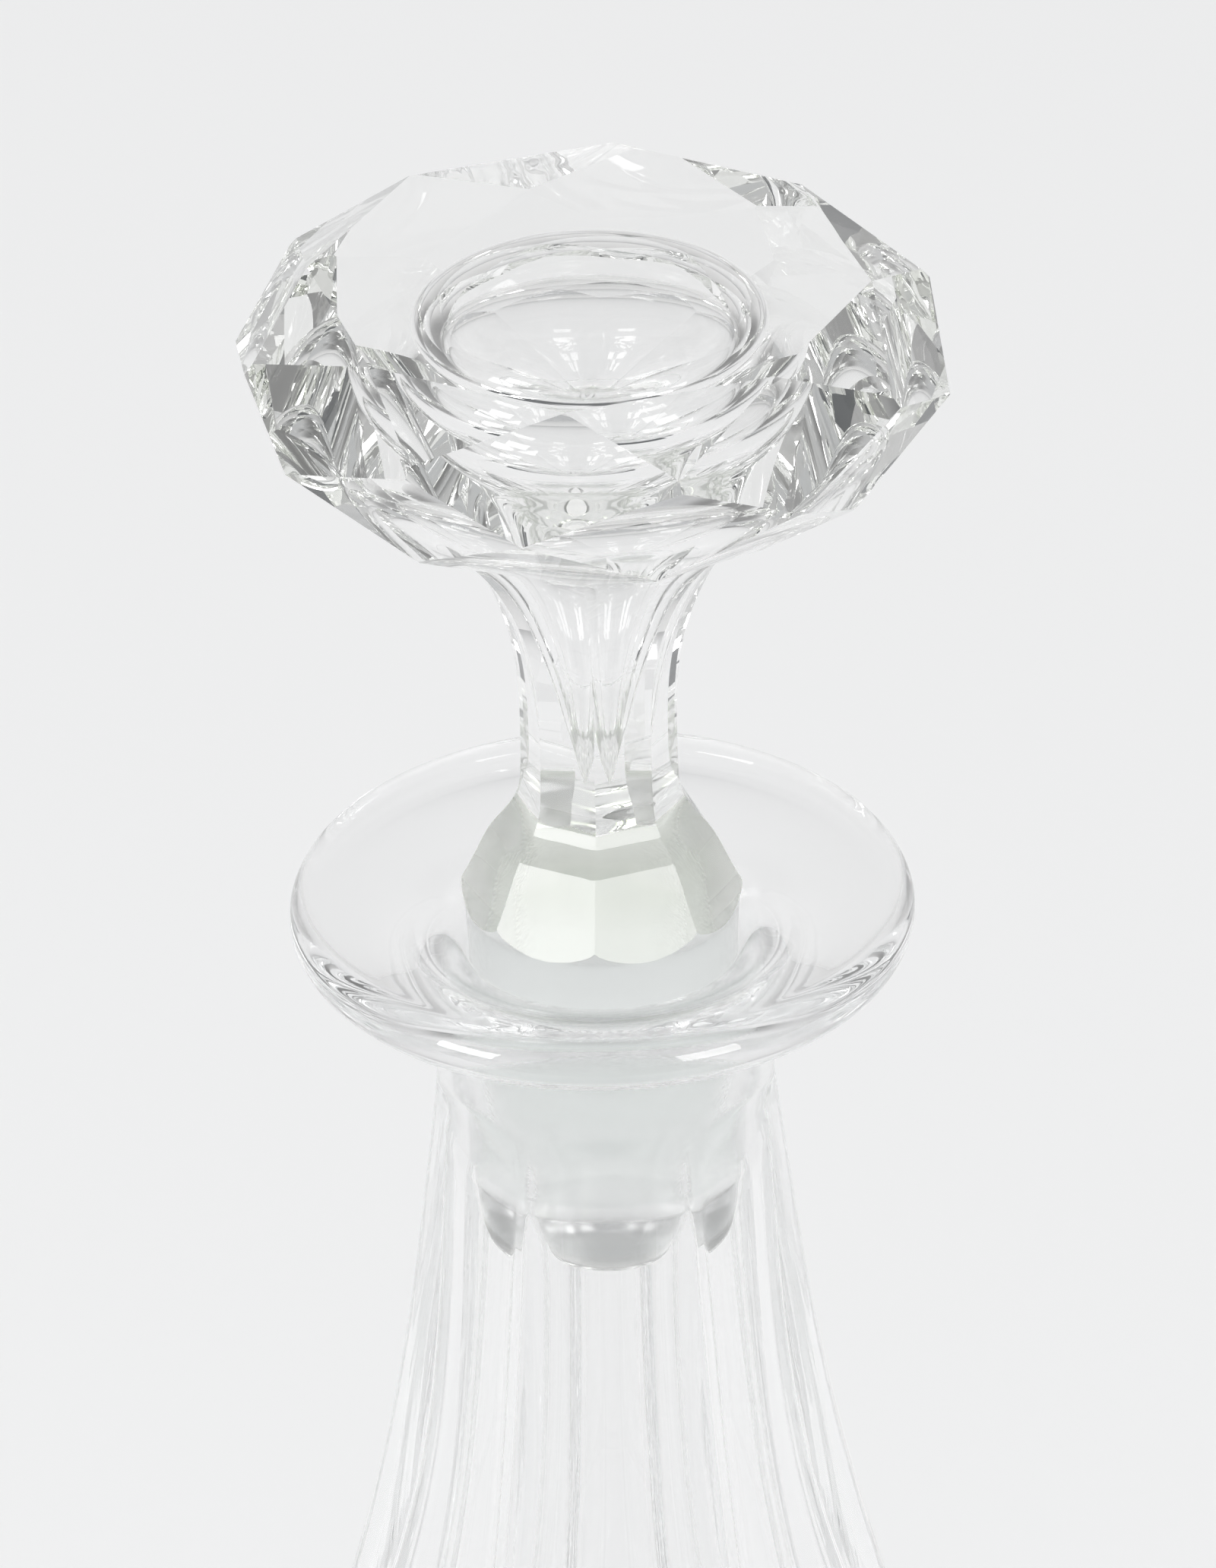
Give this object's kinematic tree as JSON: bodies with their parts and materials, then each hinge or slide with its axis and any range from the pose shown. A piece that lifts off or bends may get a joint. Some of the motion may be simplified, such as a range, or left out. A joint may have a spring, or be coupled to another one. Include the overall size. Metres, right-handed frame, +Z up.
{
  "type": "stoppered glass decanter",
  "caption": "Panel-cut clear crystal decanter: wide rolled lip, flared neck and body with long flats, lift-out mushroom stopper with a facet-cut head and ground plug.",
  "frame": {"origin": "centre of the base, on the surface that the decanter stands on", "axes": "+Z up along the axis of the body, neck and stopper; one flat of the neck and body faces -Y"},
  "size_m": [0.12, 0.1196, 0.275],
  "materials": {
    "decanter_crystal": "blown lead crystal, flats ground and polished, mouth ground matt",
    "stopper_crystal": "lead crystal, cut facets polished, plug ground matt"
  },
  "bodies": {
    "decanter": {"decanter_body": "decanter_crystal"},
    "stopper": {"stopper": "stopper_crystal"}
  },
  "joints": [
    {"name": "stopper_lift", "type": "slide", "parent": "decanter", "child": "stopper", "axis": [0, 0, 1], "range_m": [0, 0.06]}
  ]
}
